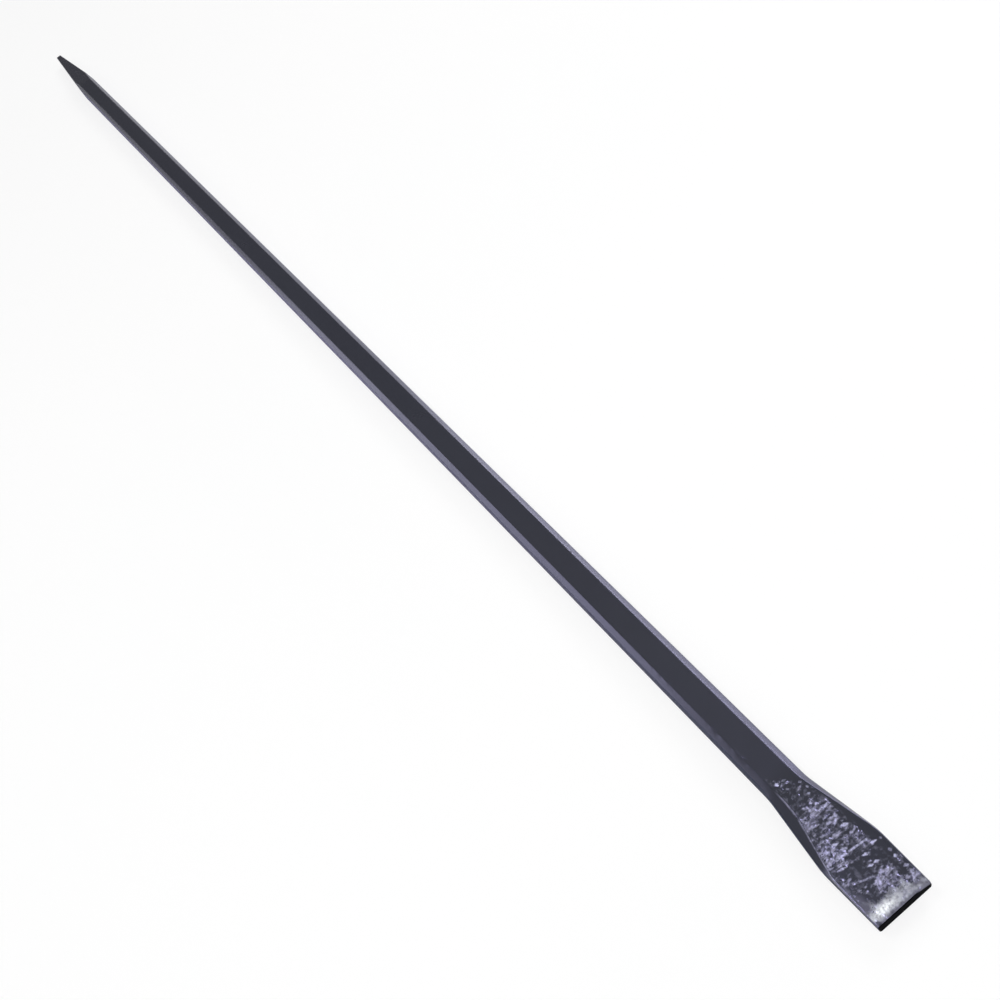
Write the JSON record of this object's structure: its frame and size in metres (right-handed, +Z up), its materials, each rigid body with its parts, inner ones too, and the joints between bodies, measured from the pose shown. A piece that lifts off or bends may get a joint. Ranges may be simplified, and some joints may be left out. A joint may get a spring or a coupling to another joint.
{
  "type": "digging bar",
  "caption": "Long forged steel digging bar of chamfered square stock, with a flared chisel blade at one end and a four-sided point at the other, painted blue-black",
  "frame": {"origin": "centre of the bounding box's footprint, on the plane of the bottom flat that the bar lies on", "axes": "+X runs along the bar from the point to the chisel blade, +Y runs across the blade, +Z is up, square to the blade's broad faces"},
  "size_m": [1.8, 0.04, 0.025],
  "materials": {
    "bar_enamel": "semi-gloss blue-black enamel on rolled steel",
    "forged_enamel": "gloss blue-black enamel over hammered forging scale"
  },
  "bodies": {
    "root": {"shank": "bar_enamel", "chisel_blade": "forged_enamel", "point": "bar_enamel"}
  },
  "joints": []
}
